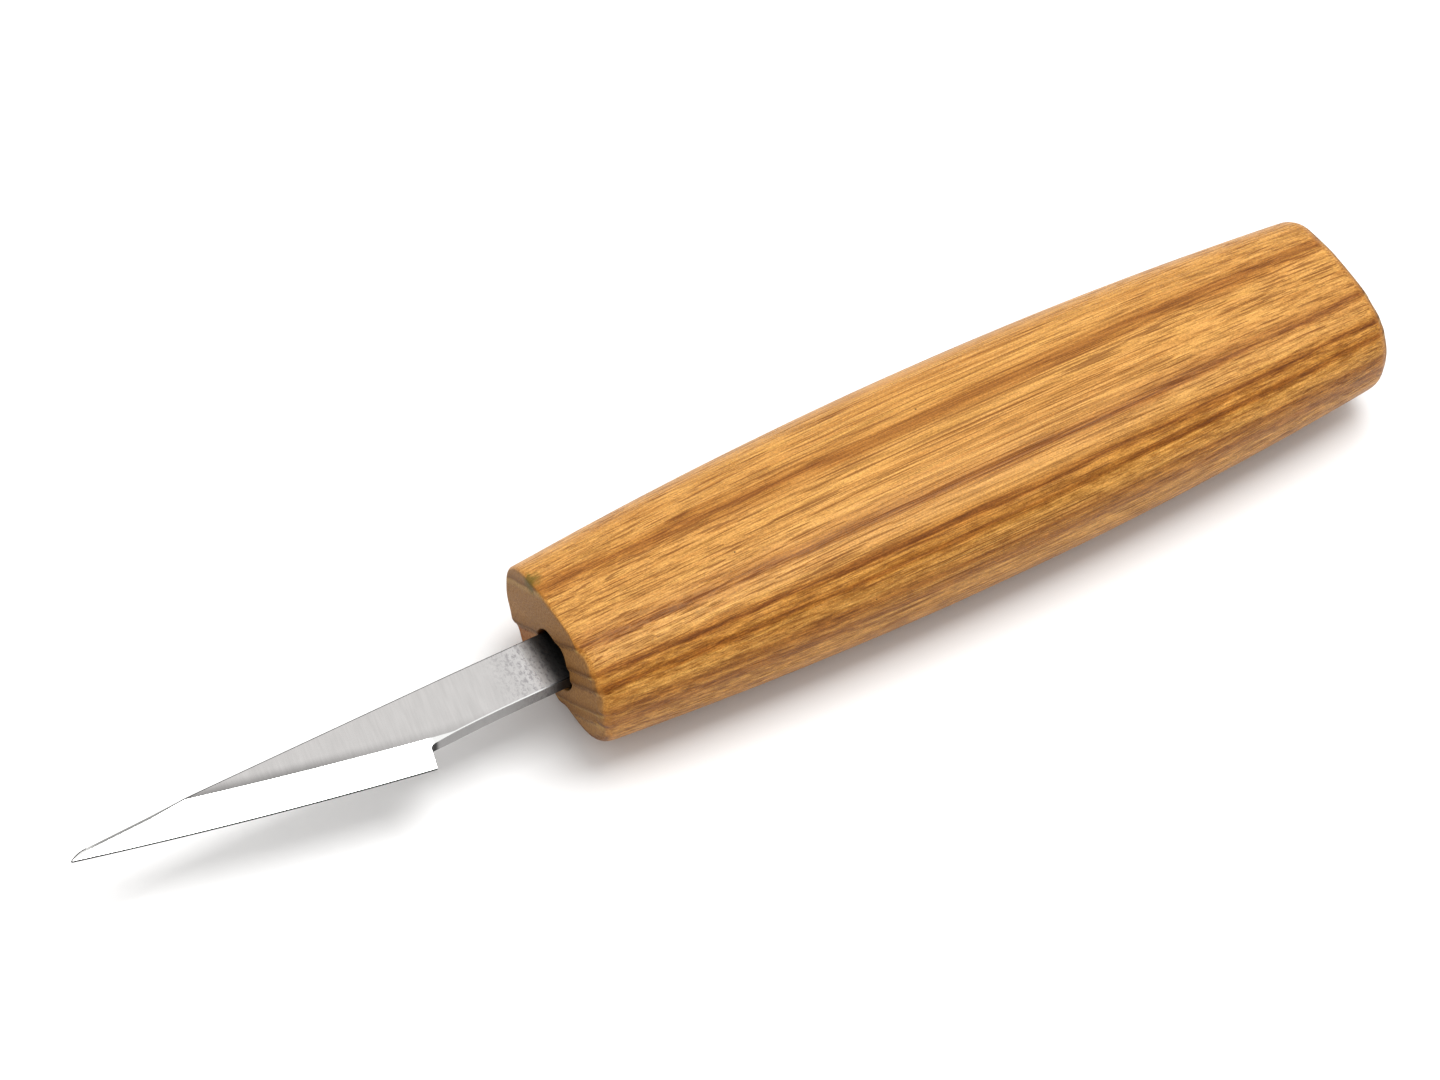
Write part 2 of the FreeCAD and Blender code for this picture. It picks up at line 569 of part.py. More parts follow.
def make_epoxy(doc, blade):
    """Set epoxy: the bore's shape behind the recess, less the tang that it holds."""
    along_x = Rotation(Vector(0, 1, 0), 90)
    front = "(Dims.exposed_length - Dims.handle_length) / 2"
    height = "Dims.belly_thickness / 2 - Dims.bore_drop"

    shank = doc.addObject("Part::Cylinder", "EpoxyShank")
    shank.Placement = Placement(Vector(0, 0, 0), along_x)
    shank.setExpression("Radius", "Dims.bore_diameter / 2")
    shank.setExpression("Height", "Dims.bore_depth - Dims.glue_recess")
    shank.setExpression("Placement.Base.x", f"{front} + Dims.glue_recess")
    shank.setExpression("Placement.Base.z", height)

    point = doc.addObject("Part::Cone", "EpoxyPoint")
    point.Placement = Placement(Vector(0, 0, 0), along_x)
    point.setExpression("Radius1", "Dims.bore_diameter / 2")
    point.Radius2 = 0
    point.setExpression("Height", "Dims.bore_diameter / 2 / tan(Dims.drill_angle / 2)")
    point.setExpression("Placement.Base.x", f"{front} + Dims.bore_depth")
    point.setExpression("Placement.Base.z", height)

    filling = doc.addObject("Part::Fuse", "EpoxyFilling")
    filling.Base = shank
    filling.Tool = point
    bond = doc.addObject("Part::Cut", "epoxy_bond")
    bond.Base = filling
    bond.Tool = blade
    bond.Label = "epoxy_bond"
    doc.recompute()
    return bond


def check_document(doc, pieces):
    for item in doc.Objects:
        if "Invalid" in item.State or "Error" in item.State:
            raise RuntimeError(f"{item.Name} failed to build: {item.State}")
    for piece in pieces:
        shape = piece.Shape
        if shape.isNull() or not shape.isValid() or len(shape.Solids) != 1:
            raise RuntimeError(f"{piece.Label} isn't one valid solid")


def main():
    doc = FreeCAD.newDocument("whittling_knife")
    make_sheet(doc)
    handle = make_handle(doc)
    blade = make_blade(doc)
    epoxy = make_epoxy(doc, blade)
    pieces = [handle, blade, epoxy]
    doc.recompute()
    check_document(doc, pieces)
    os.makedirs("parts", exist_ok=True)
    for piece in pieces:
        piece.Shape.exportStep(f"parts/{piece.Label}.step")
        box = piece.Shape.BoundBox
        size = f"{box.XLength:.2f} x {box.YLength:.2f} x {box.ZLength:.2f} mm"
        print(f"{piece.Label}: {size}, {piece.Shape.Volume:.1f} mm3")


main()
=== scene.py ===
import math

import bpy
import numpy as np
from mathutils import Matrix, Vector, noise


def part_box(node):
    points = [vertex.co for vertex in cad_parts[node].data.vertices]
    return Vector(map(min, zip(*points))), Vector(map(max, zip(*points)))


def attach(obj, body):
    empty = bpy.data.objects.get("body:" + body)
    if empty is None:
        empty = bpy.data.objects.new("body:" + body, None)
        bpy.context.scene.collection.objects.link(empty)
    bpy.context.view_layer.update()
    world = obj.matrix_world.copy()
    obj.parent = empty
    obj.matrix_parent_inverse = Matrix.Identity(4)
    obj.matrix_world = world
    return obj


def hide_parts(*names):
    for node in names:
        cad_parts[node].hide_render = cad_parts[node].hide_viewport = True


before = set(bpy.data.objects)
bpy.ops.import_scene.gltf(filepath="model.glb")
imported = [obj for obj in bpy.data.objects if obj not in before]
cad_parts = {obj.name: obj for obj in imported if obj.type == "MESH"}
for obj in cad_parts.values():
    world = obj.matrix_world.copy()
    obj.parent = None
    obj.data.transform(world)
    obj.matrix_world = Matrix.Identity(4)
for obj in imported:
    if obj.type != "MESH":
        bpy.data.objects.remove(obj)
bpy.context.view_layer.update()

# Whittling knife lying on its side. Shapes are worked out in millimetres from
# the middle of the handle's front face (+X to the butt, +Y to the spine) and
# put into the frame in metres.

MM = 0.001
handle_lo, handle_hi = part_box("handle")
blade_lo, blade_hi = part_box("blade")
epoxy_lo, epoxy_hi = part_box("epoxy_bond")

FRONT = handle_lo.x
AXIS_Z = (handle_lo.z + handle_hi.z) / 2
BLADE_Z = (blade_lo.z + blade_hi.z) / 2
HANDLE_LENGTH = (handle_hi.x - handle_lo.x) / MM
BELLY_WIDTH = (handle_hi.y - handle_lo.y) / MM
BELLY_THICKNESS = (handle_hi.z - handle_lo.z) / MM
BORE_RADIUS = (epoxy_hi.y - epoxy_lo.y) / 2 / MM
BORE_DROP = (AXIS_Z - BLADE_Z) / MM
BLADE_HALF = (blade_hi.z - blade_lo.z) / 2 / MM
TIP_X = (blade_lo.x - FRONT) / MM
TANG_END_X = (blade_hi.x - FRONT) / MM
HALF_TANG = blade_hi.y / MM

# Handle
END_SHARE = 0.819
FLAT_RATIO = 0.17
CROWN_RATIO = 1.15
SIDE_RATIO = 1.97
CORNER_RATIO = 0.411
QUARTER_POINTS = 100
FRONT_ROUND = 0.9
FRONT_ROUND_MOST = 2.0
BUTT_ROUND = 2.0
BORE_DEPTH = 56.0
DRILL_ANGLE = math.radians(118)
MOUTH_ROUND = 0.12
SANDING = 0.045
RIM_UNEVEN = 0.2
RIM_HARD_SHARE = 0.55
RIM_STEP = 0.35
NEAR_RIM = math.radians(205)
FACE_HOLLOW = 0.22
BUTT_HOLLOW = 0.08

# Growth rings: direction across the handle, places of the hard lines, and how the rings bow and waver
RING_ACROSS = (0.643, 0.766)
RING_BOW = 0.085
RING_LINES = (-7.75, -6.2, -2.8, -0.75, 2.75)
SLOW_WAVER = 0.42
QUICK_WAVER = 0.24
# How wide the hard wood is left standing on each side of a line, and how the hollows fade past the last line
HARD_BEHIND = 1.3
HARD_AHEAD = 0.55
HOLLOW_FADE = 4.0

# Blade
SPINE_STRAIGHT = 12.0
SPINE_FALL = math.radians(0.75)
NOSE_START = 57.9
EDGE_ANGLE = math.radians(11.96)
EDGE_RADIUS = 550.0
HEEL_X = -18.7
HEEL_Y = -6.78
BEVEL_AT_HEEL = 3.72
BEVEL_GROWTH = 0.018
HONED_WIDTH = 0.15
HONED_HALF = 0.075
EDGE_HALF = 0.006
RELIEF_START = -6.0
RELIEF_RADIUS = 170.0
NOTCH_RADIUS = 0.55
TANG_GROUND = 0.15
SPINE_ROUND = 0.17
TIP_SPINE_ROUND = 0.5
TIP_SPINE_START = -44.0
TIP_SPINE_RUN = 6.0
SPINE_SLOPE = math.radians(24)
SPINE_BREAK = 0.05
TIP_ROUND = 0.24
TAPER_START = 34.0
TANG_END_HALF = 2.0
KEY_RADIUS = 0.9
KEY_PLACES = (10.0, 18.0, 26.0)


def new_mesh(name, vertices, faces, materials, face_material=None, sharp=None):
    """A mesh object from points in the frame's metres."""
    mesh = bpy.data.meshes.new(name)
    mesh.from_pydata([tuple(v) for v in vertices], [], faces)
    for material in materials:
        mesh.materials.append(material)
    if face_material is not None:
        mesh.polygons.foreach_set("material_index", face_material)
    mesh.shade_smooth()
    if sharp is not None:
        mesh.set_sharp_from_angle(angle=math.radians(sharp))
    mesh.validate()
    mesh.update()
    thing = bpy.data.objects.new(name, mesh)
    bpy.context.scene.collection.objects.link(thing)
    return thing


def into_frame(points, z):
    """Millimetres from the middle of the front face, to metres in the frame."""
    points = np.asarray(points, float) * MM
    return points + np.array([FRONT, 0, z])


def band(first, second, flip=False):
    """Quads between two closed loops of the same length."""
    count = len(first)
    quads = []
    for i in range(count):
        j = (i + 1) % count
        quad = (first[i], first[j], second[j], second[i])
        quads.append(quad[::-1] if flip else quad)
    return quads


def wander(x, y, z, seed):
    """Smooth noise from -1 to 1."""
    return noise.noise(Vector((x, y, z + 37.7 * seed)))


# Handle


def section_arcs(width, thickness):
    """Centres and angles of the arcs of the quarter section in +Y +Z."""
    flat = FLAT_RATIO * thickness / 2
    crown = CROWN_RATIO * thickness
    side = SIDE_RATIO * thickness
    corner = CORNER_RATIO * thickness
    top = np.array([flat, thickness / 2 - crown])
    right = np.array([width / 2 - side, 0.0])
    span = right - top
    length = np.hypot(*span)
    along = ((crown - corner) ** 2 - (side - corner) ** 2 + length**2) / (2 * length)
    across = math.sqrt((crown - corner) ** 2 - along**2)
    unit = span / length
    centre = top + unit * along + np.array([unit[1], -unit[0]]) * across
    if centre.sum() < 0:
        centre = top + unit * along - np.array([unit[1], -unit[0]]) * across
    lean = math.atan2(centre[1], centre[0] - right[0])
    rise = math.atan2(centre[1] - top[1], centre[0] - top[0])
    return ((right, side, 0.0, lean), (centre, corner, lean, rise), (top, crown, rise, math.pi / 2))


def quarter_section(width, thickness):
    """Points and outward normals of the quarter section, from +Y round to +Z."""
    points, normals = [], []
    shares = (0.2, 0.42, 0.3)
    for (centre, radius, start, end), share in zip(section_arcs(width, thickness), shares):
        count = round(share * QUARTER_POINTS)
        for k in range(count):
            angle = start + (end - start) * k / count
            normal = np.array([math.cos(angle), math.sin(angle)])
            points.append(centre + radius * normal)
            normals.append(normal)
    flat = FLAT_RATIO * thickness / 2
    left = QUARTER_POINTS - len(points)
    for k in range(left):
        points.append(np.array([flat * (1 - k / left), thickness / 2]))
        normals.append(np.array([0.0, 1.0]))
    return np.array(points), np.array(normals)


def section(x):
    """Whole outline of the handle at x, with its outward normals."""
    bow = (2 * x / HANDLE_LENGTH - 1) ** 2
    size = 1 - (1 - END_SHARE) * bow
    points, normals = quarter_section(BELLY_WIDTH * size, BELLY_THICKNESS * size)
    top = np.array([[0.0, BELLY_THICKNESS * size / 2]])
    upper = np.vstack([points, top, points[:0:-1] * [-1, 1]])
    upward = np.vstack([normals, [[0.0, 1.0]], normals[:0:-1] * [-1, 1]])
    return np.vstack([upper, -upper]), np.vstack([upward, -upward])


def growth(x, y, z):
    """Where a point lies across the growth rings, with the bow and the waver of real wood."""
    across = RING_ACROSS[0] * y + RING_ACROSS[1] * z
    bow = (2 * x / HANDLE_LENGTH - 1) ** 2
    slow = wander(x / 45, y / 11, z / 11, 6)
    quick = wander(x / 9, y / 2.6, z / 2.6, 7)
    return across * (1 + RING_BOW * bow) + SLOW_WAVER * slow + QUICK_WAVER * quick


def hollow(place):
    """How far the soft wood between the ring lines is sanded back on the end faces, 0 to 1."""
    depth = 1.0
    for line in RING_LINES:
        gap = place - line
        width = HARD_BEHIND if gap > 0 else HARD_AHEAD
        depth = min(depth, 1 - math.exp(-((gap / width) ** 2)))
    beyond = max(place - RING_LINES[-1], 0)
    return depth * math.exp(-((beyond / HOLLOW_FADE) ** 2))


def rim_share(place, grown):
    """How round the front rim is worn, as a share of its usual radius: least beyond the last ring line."""
    soft = min(max((RING_LINES[-1] + RIM_STEP - grown) / (2 * RIM_STEP), 0), 1)
    soft *= soft * (3 - 2 * soft)
    near = max(math.cos(place - NEAR_RIM), 0)
    return RIM_HARD_SHARE + soft * (0.35 + 0.4 * hollow(grown) + 0.5 * near)


def handle_loop(x, angle=None, end=0.0, sign=1, radius=0.0):
    """One closed loop of hand-sanded handle points. With an angle it lies on a rounded rim."""
    outline, normals = section(x)
    drawn = []
    for (y, z), (ny, nz) in zip(outline, normals):
        uneven = 0.6 * wander(x / 16, y / 7, z / 7, 1) + 0.4 * wander(x / 6, y / 2.6, z / 2.6, 2)
        reach = SANDING * (0.5 + 0.5 * uneven)
        at = x
        if angle is not None:
            place = math.atan2(z, y)
            rim = radius * (1 + RIM_UNEVEN * wander(2 * math.cos(place), 2 * math.sin(place), end / 40, 3))
            grown = growth(x, y, z)
            if sign > 0:
                rim *= rim_share(place, grown)
            wear_and_shade = (FACE_HOLLOW if sign > 0 else BUTT_HOLLOW) * hollow(grown)
            at = end + sign * (rim * (1 - math.cos(angle)) + wear_and_shade * math.cos(angle) ** 2)
            reach += rim * (1 - math.sin(angle))
        drawn.append((at, y - ny * reach, z - nz * reach))
    return np.array(drawn)


def handle_loops():
    """Every loop from the front face to the butt face."""
    loops = []
    for angle in np.linspace(0, math.pi / 2, 10)[:-1]:
        loops.append(handle_loop(FRONT_ROUND * (1 - math.cos(angle)), angle, 0.0, 1, FRONT_ROUND))
    for x in np.linspace(FRONT_ROUND_MOST, HANDLE_LENGTH - 1.25 * BUTT_ROUND, 144):
        loops.append(handle_loop(x))
    for angle in np.linspace(math.pi / 2, 0, 14)[1:]:
        x = HANDLE_LENGTH - BUTT_ROUND * (1 - math.cos(angle))
        loops.append(handle_loop(x, angle, HANDLE_LENGTH, -1, BUTT_ROUND))
    return loops


def face_loops(outer, target, steps, end, sign, depth):
    """Loops across an end face, from its rim to a loop or point in the middle."""
    loops = []
    start = outer[:, 0]
    for share in np.linspace(0, 1, steps + 1)[1:-1]:
        flat = outer[:, 1:] * (1 - share) + target * share
        edge = min(share * steps / 3, 1)
        at = []
        for (y, z), rim in zip(flat, start):
            wear_and_shade = depth * hollow(growth(end, y, z)) + 0.02 * (1 + wander(y / 2.5, z / 2.5, end, 4))
            at.append(rim * (1 - edge) + (end + sign * wear_and_shade) * edge)
        loops.append(np.column_stack([at, flat]))
    return loops


def bore_profile():
    """(x, radius) of the bore's loops, from its mouth to the foot of the drill point."""
    pairs = []
    for k in range(4):
        angle = math.pi / 2 * k / 4
        pairs.append((MOUTH_ROUND * (1 - math.cos(angle)), BORE_RADIUS + MOUTH_ROUND * (1 - math.sin(angle))))
    for x in (MOUTH_ROUND, 0.5, 1.0, 1.6, 2.2, 3.0, 4.5, 8.0, 16.0, 28.0, 42.0, BORE_DEPTH):
        pairs.append((x, BORE_RADIUS))
    return pairs


def make_handle(materials):
    """The ash handle with its drilled bore, closed all round."""
    loops = handle_loops()
    outer_front, outer_butt = loops[0], loops[-1]
    count = len(outer_front)

    drop = np.array([0, -BORE_DROP])
    bearing = np.arctan2(outer_front[:, 2] - drop[1], outer_front[:, 1] - drop[0])
    circle = np.stack([np.cos(bearing), np.sin(bearing)], 1)
    mouth = drop + (BORE_RADIUS + MOUTH_ROUND) * circle
    face = face_loops(outer_front, mouth, 28, 0.0, 1, FACE_HOLLOW)
    butt = face_loops(outer_butt, np.zeros(2), 14, HANDLE_LENGTH, -1, BUTT_HOLLOW)
    wear_and_shade = np.array([FACE_HOLLOW * hollow(growth(0, y, z)) for y, z in mouth])
    bore = []
    for x, radius in bore_profile():
        rough = np.array([0.03 * wander(4 * c, 4 * s, x, 5) for c, s in circle])
        ring = drop + circle * (radius + rough[:, None])
        bore.append(np.column_stack([x + wear_and_shade * max(1 - x / 2, 0), ring]))
    point_x = BORE_DEPTH + BORE_RADIUS / math.tan(DRILL_ANGLE / 2)

    rings = bore[::-1] + face[::-1] + loops + butt
    middle_x = HANDLE_LENGTH - BUTT_HOLLOW
    points = np.vstack(rings + [[[point_x, 0, -BORE_DROP]], [[middle_x, 0, 0]]])
    faces = []
    for k in range(len(rings) - 1):
        first = range(k * count, (k + 1) * count)
        second = range((k + 1) * count, (k + 2) * count)
        faces += band(first, second)
    drill, middle = len(points) - 2, len(points) - 1
    last = (len(rings) - 1) * count
    for i in range(count):
        j = (i + 1) % count
        faces.append((drill, j, i))
        faces.append((middle, last + i, last + j))
    made = new_mesh("handle_wood", into_frame(points, AXIS_Z), faces, materials, sharp=60)
    layer = made.data.attributes.new("growth", "FLOAT", "POINT")
    layer.data.foreach_set("value", [growth(*point) for point in points])
    return made


# Blade


def edge_line(x):
    """Height of the cutting edge, carried on past the heel for the bevels."""
    run = HEEL_X - TIP_X
    half = run / 2 / math.cos(EDGE_ANGLE)
    mid_x = HEEL_X - run / 2
    mid_y = HEEL_Y + run / 2 * math.tan(EDGE_ANGLE)
    depth = math.sqrt(EDGE_RADIUS**2 - half**2)
    centre_x = mid_x + math.sin(EDGE_ANGLE) * depth
    centre_y = mid_y + math.cos(EDGE_ANGLE) * depth
    return centre_y - math.sqrt(EDGE_RADIUS**2 - (x - centre_x) ** 2)


def notch_arcs():
    """Centre of the relief arc under the tang, centre of the notch arc, where they meet in x."""
    up = np.array([math.sin(EDGE_ANGLE), math.cos(EDGE_ANGLE)])
    away = np.array([math.cos(EDGE_ANGLE), -math.sin(EDGE_ANGLE)])
    relief = np.array([RELIEF_START, -HALF_TANG - RELIEF_RADIUS])
    start = np.array([HEEL_X, HEEL_Y]) + away * NOTCH_RADIUS - relief
    reach = RELIEF_RADIUS - NOTCH_RADIUS
    half = start @ up
    notch = relief + start + up * (math.sqrt(half**2 - start @ start + reach**2) - half)
    toward = (notch - relief) / reach
    return relief, notch, (relief + toward * RELIEF_RADIUS)[0]


RELIEF, NOTCH, MEET_X = notch_arcs()
SHOULDER_TOP_X = NOTCH[0] - NOTCH_RADIUS * math.cos(EDGE_ANGLE)
TIP_CENTRE_X = TIP_X + TIP_ROUND
TIP_CENTRE_Y = edge_line(TIP_CENTRE_X) + TIP_ROUND / math.cos(EDGE_ANGLE)


def key_cut(x):
    """How deep a glue notch cuts into the hidden tang's edges at x."""
    for place in KEY_PLACES:
        if abs(x - place) < KEY_RADIUS:
            return math.sqrt(KEY_RADIUS**2 - (x - place) ** 2)
    return 0.0


def tang_half(x):
    """Half width of the straight and tapered tang."""
    share = min(max((x - TAPER_START) / (TANG_END_X - TAPER_START), 0), 1)
    return HALF_TANG + (TANG_END_HALF - HALF_TANG) * share - key_cut(x)


def bottom_y(x):
    """Lower outline of the blade: edge, shoulder, notch, relief and tang."""
    if x <= HEEL_X:
        low = edge_line(x)
        if x < TIP_CENTRE_X:
            low = max(low, TIP_CENTRE_Y - math.sqrt(max(TIP_ROUND**2 - (TIP_CENTRE_X - x) ** 2, 0)))
        return low
    if x < SHOULDER_TOP_X:
        return HEEL_Y + (x - HEEL_X) / math.tan(EDGE_ANGLE)
    if x < MEET_X:
        return NOTCH[1] + math.sqrt(max(NOTCH_RADIUS**2 - (x - NOTCH[0]) ** 2, 0))
    if x < RELIEF_START:
        return RELIEF[1] + math.sqrt(RELIEF_RADIUS**2 - (x - RELIEF[0]) ** 2)
    return -tang_half(x)


def top_y(x):
    """Upper outline: tang, falling spine and nose."""
    if x >= -SPINE_STRAIGHT:
        return tang_half(x)
    fall = HALF_TANG + (x + SPINE_STRAIGHT) * math.tan(SPINE_FALL)
    if x > -NOSE_START:
        return fall
    start = np.array([-NOSE_START, HALF_TANG + (SPINE_STRAIGHT - NOSE_START) * math.tan(SPINE_FALL)])
    tip = np.array([TIP_X, TIP_CENTRE_Y])
    outward = np.array([-math.sin(SPINE_FALL), math.cos(SPINE_FALL)])
    radius = (start - tip) @ (start - tip) / (2 * outward @ (start - tip))
    centre = start - outward * radius
    nose = centre[1] + math.sqrt(max(radius**2 - (x - centre[0]) ** 2, 0))
    if x < TIP_CENTRE_X:
        nose = min(nose, TIP_CENTRE_Y + math.sqrt(max(TIP_ROUND**2 - (TIP_CENTRE_X - x) ** 2, 0)))
    return max(nose, bottom_y(x))


def bevel_top(x):
    """Height of the grind line."""
    width = BEVEL_AT_HEEL + BEVEL_GROWTH * max(HEEL_X - x, 0)
    return edge_line(x) + width / math.cos(EDGE_ANGLE)


def half_thickness(x, y):
    """Half thickness of the blade at a point of its side view, before the spine is rounded."""
    low = bottom_y(x)
    reach = (y - edge_line(x)) * math.cos(EDGE_ANGLE)
    width = (bevel_top(x) - edge_line(x)) * math.cos(EDGE_ANGLE)
    if reach < HONED_WIDTH:
        bevel = EDGE_HALF + (HONED_HALF - EDGE_HALF) * reach / HONED_WIDTH
    else:
        bevel = HONED_HALF + (BLADE_HALF - HONED_HALF) * (reach - HONED_WIDTH) / (width - HONED_WIDTH)
    half = min(BLADE_HALF, bevel)
    if x > HEEL_X:
        half = min(half, BLADE_HALF - (TANG_GROUND - max(y - low, 0)) * BLADE_HALF / BEVEL_AT_HEEL)
    return max(half, EDGE_HALF)


def blade_section(x):
    """Points of one side of the blade's section at x as (y, half thickness), edge to spine."""
    low, high = bottom_y(x), top_y(x)
    in_tip = min(max((TIP_SPINE_START - x) / TIP_SPINE_RUN, 0), 1)
    corner = SPINE_ROUND + (TIP_SPINE_ROUND - SPINE_ROUND) * in_tip
    corner = min(corner, 0.45 * (high - low))
    full = half_thickness(x, high - corner)
    depth = min(corner * math.tan(SPINE_SLOPE), 0.7 * full)
    honed = edge_line(x) + HONED_WIDTH / math.cos(EDGE_ANGLE)
    ground = low + (TANG_GROUND if x > HEEL_X else 0)
    levels = sorted(min(max(y, low), high - corner) for y in (honed, ground, bevel_top(x)))
    side = [(y, half_thickness(x, y)) for y in [low, *levels, high - corner]]
    broken = min(SPINE_BREAK, 0.2 * full)
    side.append((high - 0.4 * broken, full - depth))
    side.append((high, full - depth - broken))
    return side


def blade_stations():
    """Where the blade's sections are taken, closer together where its outline turns."""
    tip = TIP_X + TIP_ROUND * (1 - np.cos(np.linspace(0.12, math.pi / 2, 9)))
    nose = np.linspace(TIP_CENTRE_X, -NOSE_START, 14)
    edge = np.linspace(-NOSE_START, HEEL_X, 130)
    shoulder = np.linspace(HEEL_X + 0.002, SHOULDER_TOP_X, 24)
    notch = NOTCH[0] - NOTCH_RADIUS * np.cos(np.linspace(EDGE_ANGLE, math.pi / 2, 14))
    relief = np.linspace(MEET_X, 0, 50)
    tang = [np.linspace(0, TAPER_START, 18), np.linspace(TAPER_START, TANG_END_X, 8)]
    for place in KEY_PLACES:
        tang.append(place - KEY_RADIUS * np.cos(np.linspace(0, math.pi, 17)))
    return np.unique(np.round(np.concatenate([tip, nose, edge, shoulder, notch, relief, *tang]), 4))


def make_blade(flat, bevel):
    """The blade and its hidden tang, closed all round. Bevels and flats have their own finish."""
    stations = blade_stations()
    points, strips, above, off_edge, off_nose = [], [], [], [], []
    for x in stations:
        side = blade_section(x)
        ring = [(x, y, h) for y, h in side] + [(x, y, -h) for y, h in side[::-1]]
        points += ring
        middle = [(side[k][0] + side[k + 1][0]) / 2 for k in range(len(side) - 1)]
        ground = max(bevel_top(x), bottom_y(x) + TANG_GROUND) if x > HEEL_X else bevel_top(x)
        strips.append([y < ground - 1e-3 for y in middle])
        above += [y - bevel_top(x) for _, y, _ in ring]
        behind_nose = max(x + NOSE_START, 0)
        off_edge += [max(y - edge_line(x), x - HEEL_X) for _, y, _ in ring]
        off_nose += [top_y(x) - y + behind_nose for _, y, _ in ring]
    count = len(ring)
    sides = len(strips[0])
    faces, kinds = [], []
    for k in range(len(stations) - 1):
        first = range(k * count, (k + 1) * count)
        second = range((k + 1) * count, (k + 2) * count)
        faces += band(first, second, flip=True)
        ground = [strips[k][i] and strips[k + 1][i] for i in range(sides)]
        kinds += [int(g) for g in ground] + [0] + [int(g) for g in ground[::-1]] + [0]
    faces.append(tuple(range(count)))
    faces.append(tuple(range((len(stations) - 1) * count, len(stations) * count))[::-1])
    kinds += [0, 0]
    made = new_mesh("blade_steel", into_frame(points, BLADE_Z), faces, [flat, bevel], kinds, sharp=7)
    for name, values in (("above_grind", above), ("off_edge", off_edge), ("off_nose", off_nose)):
        layer = made.data.attributes.new(name, "FLOAT", "POINT")
        layer.data.foreach_set("value", values)
    return made


# Materials


class Graph:
    """Short calls for building the nodes of a material or of the room."""

    def __init__(self, owner):
        self.tree = owner.node_tree
        self.tree.nodes.clear()

    def node(self, kind, **settings):
        made = self.tree.nodes.new(kind)
        for name, value in settings.items():
            setattr(made, name, value)
        return made

    def put(self, socket, value):
        if isinstance(value, bpy.types.NodeSocket):
            self.tree.links.new(value, socket)
        else:
            socket.default_value = value

    def math(self, operation, first, second=0.0, third=0.0):
        made = self.node("ShaderNodeMath", operation=operation)
        for socket, value in zip(made.inputs, (first, second, third)):
            self.put(socket, value)
        return made.outputs[0]

    def total(self, *terms):
        """Sum of (socket, weight) pairs and plain numbers."""
        result = 0.0
        for term in terms:
            if isinstance(term, tuple):
                result = self.math("MULTIPLY_ADD", term[0], term[1], result)
            else:
                result = self.math("ADD", result, term)
        return result

    def split(self, vector):
        made = self.node("ShaderNodeSeparateXYZ")
        self.put(made.inputs[0], vector)
        return made.outputs

    def join(self, x, y, z):
        made = self.node("ShaderNodeCombineXYZ")
        for socket, value in zip(made.inputs, (x, y, z)):
            self.put(socket, value)
        return made.outputs[0]

    def place(self):
        """Millimetres from the middle of the handle's front face."""
        made = self.node("ShaderNodeMapping", vector_type="TEXTURE")
        made.inputs["Location"].default_value = (FRONT, 0, AXIS_Z)
        made.inputs["Scale"].default_value = (MM, MM, MM)
        self.put(made.inputs[0], self.node("ShaderNodeTexCoord").outputs["Object"])
        return made.outputs[0]

    def facing(self):
        return self.split(self.node("ShaderNodeTexCoord").outputs["Normal"])

    def scaled(self, vector, *factors):
        """The three parts of a vector, each times its own factor."""
        return self.join(*[self.math("MULTIPLY", part, factor) for part, factor in zip(vector, factors)])

    def noise(self, vector, scale=1.0, detail=2.0, roughness=0.5):
        made = self.node("ShaderNodeTexNoise")
        self.put(made.inputs["Vector"], vector)
        for name, value in (("Scale", scale), ("Detail", detail), ("Roughness", roughness)):
            self.put(made.inputs[name], value)
        return made.outputs[0]

    def cells(self, vector, scale):
        """Distance to the nearest of evenly scattered points."""
        made = self.node("ShaderNodeTexVoronoi")
        self.put(made.inputs["Vector"], vector)
        self.put(made.inputs["Scale"], scale)
        return made.outputs["Distance"]

    def remap(self, value, low, high, to_low=0.0, to_high=1.0, smooth=True):
        kind = "SMOOTHSTEP" if smooth else "LINEAR"
        made = self.node("ShaderNodeMapRange", interpolation_type=kind)
        for socket, item in zip(made.inputs, (value, low, high, to_low, to_high)):
            self.put(socket, item)
        return made.outputs[0]

    def ramp(self, value, stops):
        made = self.node("ShaderNodeValToRGB")
        self.put(made.inputs[0], value)
        elements = made.color_ramp.elements
        while len(elements) < len(stops):
            elements.new(0.5)
        for element, (position, colour) in zip(elements, stops):
            element.position = position
            element.color = (*colour, 1)
        return made.outputs[0]

    def mix(self, factor, first, second, blend="MIX"):
        made = self.node("ShaderNodeMix", data_type="RGBA", blend_type=blend)
        self.put(made.inputs[0], factor)
        for socket, value in zip((made.inputs[6], made.inputs[7]), (first, second)):
            self.put(socket, value if isinstance(value, bpy.types.NodeSocket) else (*value, 1))
        return made.outputs[2]

    def attribute(self, name):
        """A value that the mesh carries at each point."""
        return self.node("ShaderNodeAttribute", attribute_name=name).outputs["Fac"]

    def bump(self, height, distance, strength):
        made = self.node("ShaderNodeBump")
        made.inputs["Strength"].default_value = strength
        made.inputs["Distance"].default_value = distance
        self.put(made.inputs["Height"], height)
        return made.outputs[0]

    def surface(self, **values):
        shader = self.node("ShaderNodeBsdfPrincipled")
        for name, value in values.items():
            self.put(shader.inputs[name.replace("_", " ")], value)
        out = self.node("ShaderNodeOutputMaterial")
        self.put(out.inputs[0], shader.outputs[0])


def linear(red, green, blue):
    """Scene colour from screen colour, 0 to 255."""
    def one(value):
        value /= 255
        return value / 12.92 if value <= 0.04045 else ((value + 0.055) / 1.055) ** 2.4
    return one(red), one(green), one(blue)


